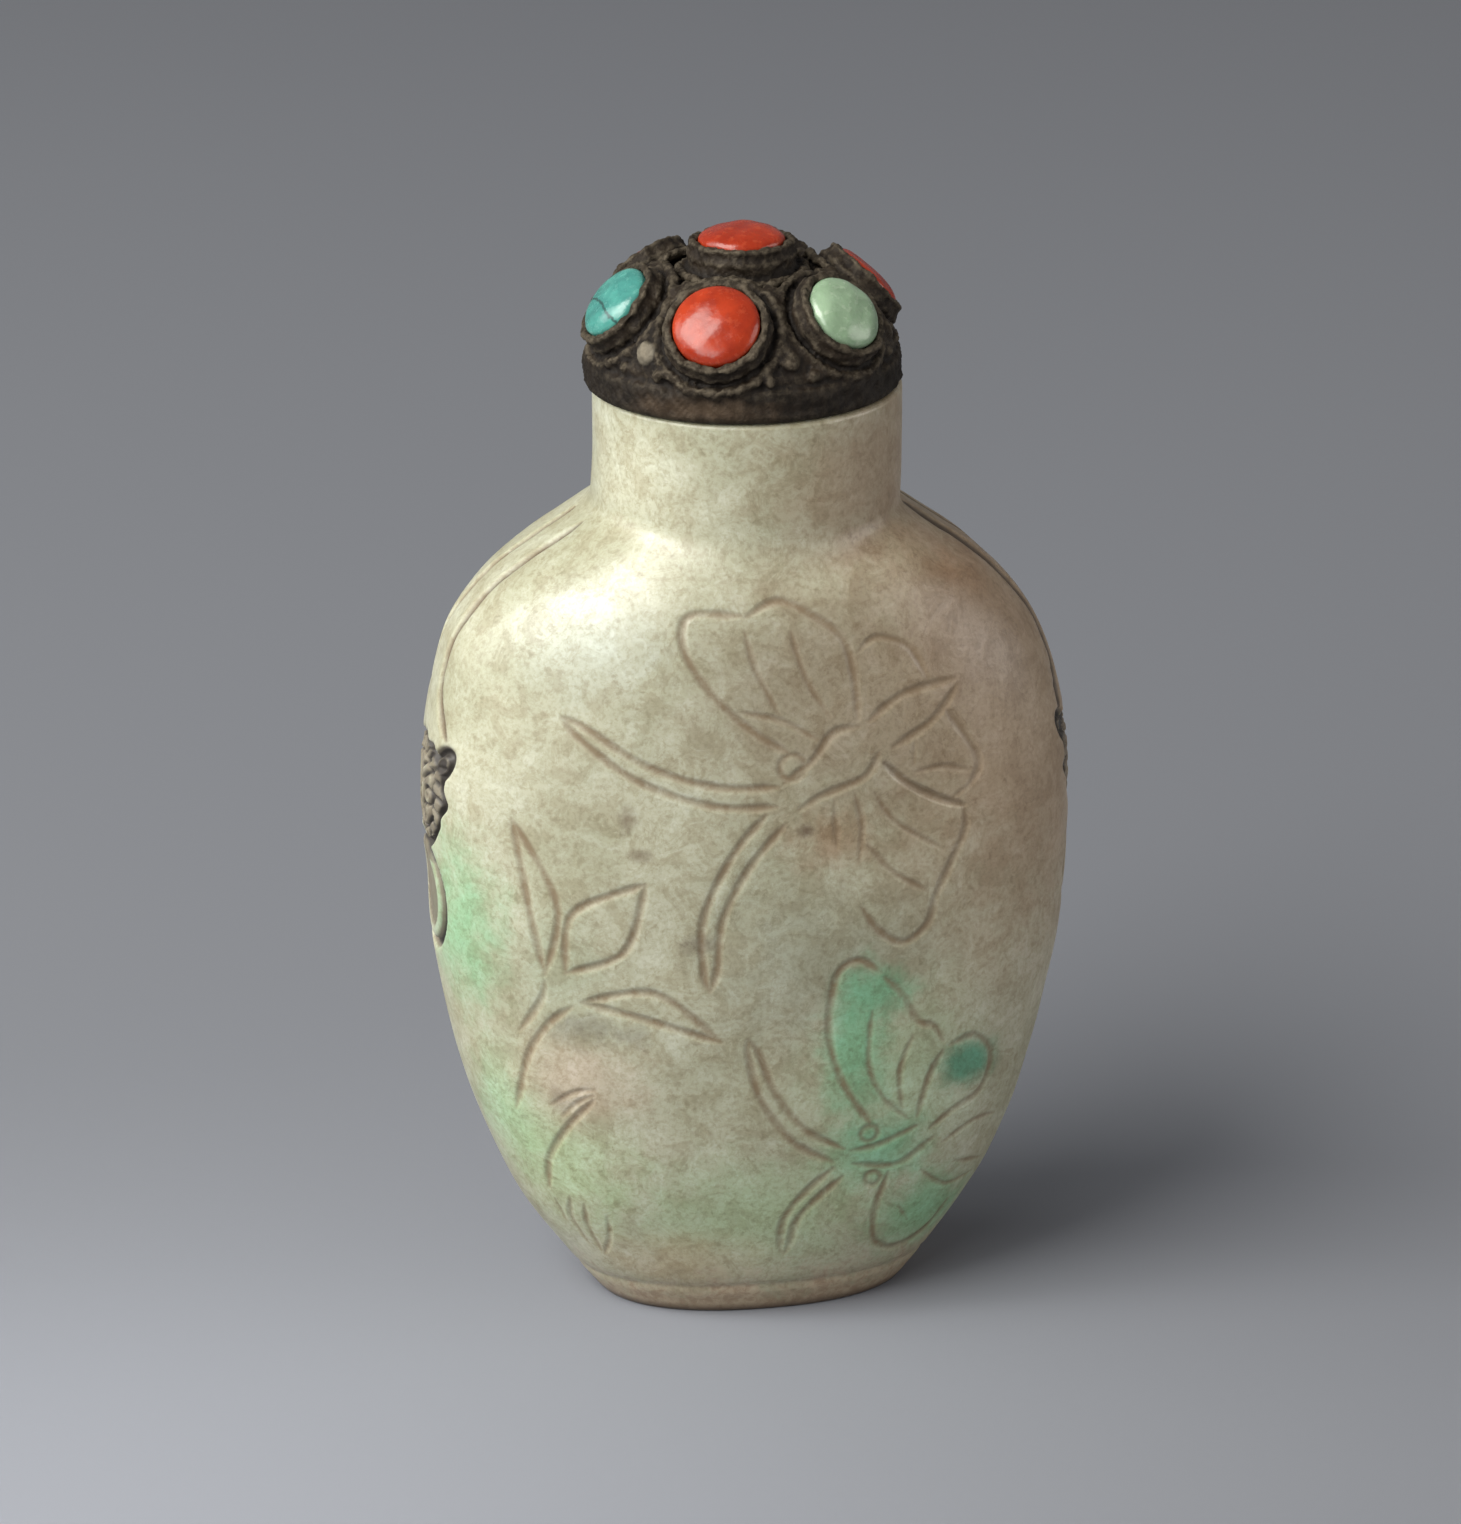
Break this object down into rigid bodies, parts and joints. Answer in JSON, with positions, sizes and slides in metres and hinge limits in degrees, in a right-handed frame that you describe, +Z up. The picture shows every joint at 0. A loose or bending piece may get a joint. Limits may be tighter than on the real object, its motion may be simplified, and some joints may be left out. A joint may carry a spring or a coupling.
{
  "type": "snuff bottle",
  "caption": "Flattened oval snuff bottle of pale green jade with incised butterflies and leaves, mask-and-ring sides and a domed dark silver stopper set with coral, turquoise and jade stones",
  "frame": {"origin": "centre of the foot's underside, on the surface that the bottle stands on", "axes": "+X to the viewer's right along the bottle's width, +Y to the back, so the main carved face looks towards -Y, +Z up through the stopper"},
  "size_m": [0.0442, 0.0258, 0.0751],
  "materials": {
    "jadeite": "polished jadeite, pale grey-green with brown clouds and apple-green veins",
    "dark_silver": "oxidised silver, almost black, worn to grey on its edges",
    "coral": "polished red coral",
    "turquoise": "polished turquoise with dark cracks",
    "green_jade": "polished pale green jade",
    "cork_bark": "raw cork"
  },
  "bodies": {
    "root": {"bottle": "jadeite", "stopper_cap": "dark_silver", "cabochon_front": "coral", "cabochon_right": "green_jade", "cabochon_back_right": "coral", "cabochon_back": "turquoise", "cabochon_back_left": "coral", "cabochon_left": "turquoise", "cabochon_top": "coral", "cork": "cork_bark"}
  },
  "joints": []
}
